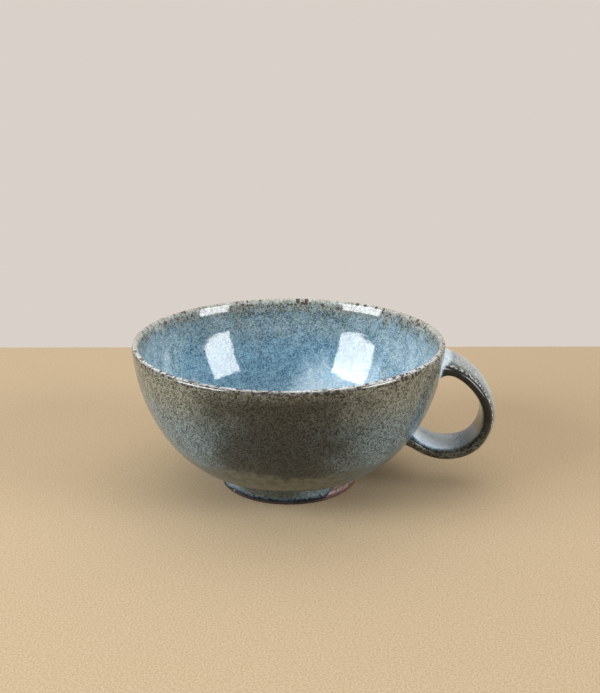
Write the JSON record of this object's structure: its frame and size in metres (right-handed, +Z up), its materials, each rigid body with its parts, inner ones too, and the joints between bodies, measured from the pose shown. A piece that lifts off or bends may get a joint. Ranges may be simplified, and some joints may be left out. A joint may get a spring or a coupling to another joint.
{
  "type": "soup mug",
  "caption": "Wide glazed stoneware soup mug: a round bowl on a turned foot ring with a broad strap handle at one side.",
  "frame": {"origin": "centre of the foot ring's resting face, on the bowl's axis", "axes": "+Z up along the bowl's axis, +X out along the handle, +Y across the strap"},
  "size_m": [0.1634, 0.14, 0.0678],
  "materials": {
    "clay": "fired stoneware, under the glaze",
    "foot_clay": "bare fired stoneware, matt, with turning marks",
    "inside_glaze": "glossy blue, mottled with pale flecks",
    "lip_glaze": "glossy thin cream, with dark iron specks",
    "outside_glaze": "glossy grey olive, finely mottled",
    "handle_glaze": "glossy grey blue, dark at the edges and pale at the roots",
    "foot_glaze": "glossy pale blue roll"
  },
  "bodies": {
    "root": {"bowl": "clay", "foot_ring": "foot_clay", "handle": "clay", "upper_root": "clay", "lower_root": "clay", "inside_glaze": "inside_glaze", "lip_glaze": "lip_glaze", "outside_glaze": "outside_glaze", "handle_glaze": "handle_glaze", "foot_glaze": "foot_glaze"}
  },
  "joints": []
}
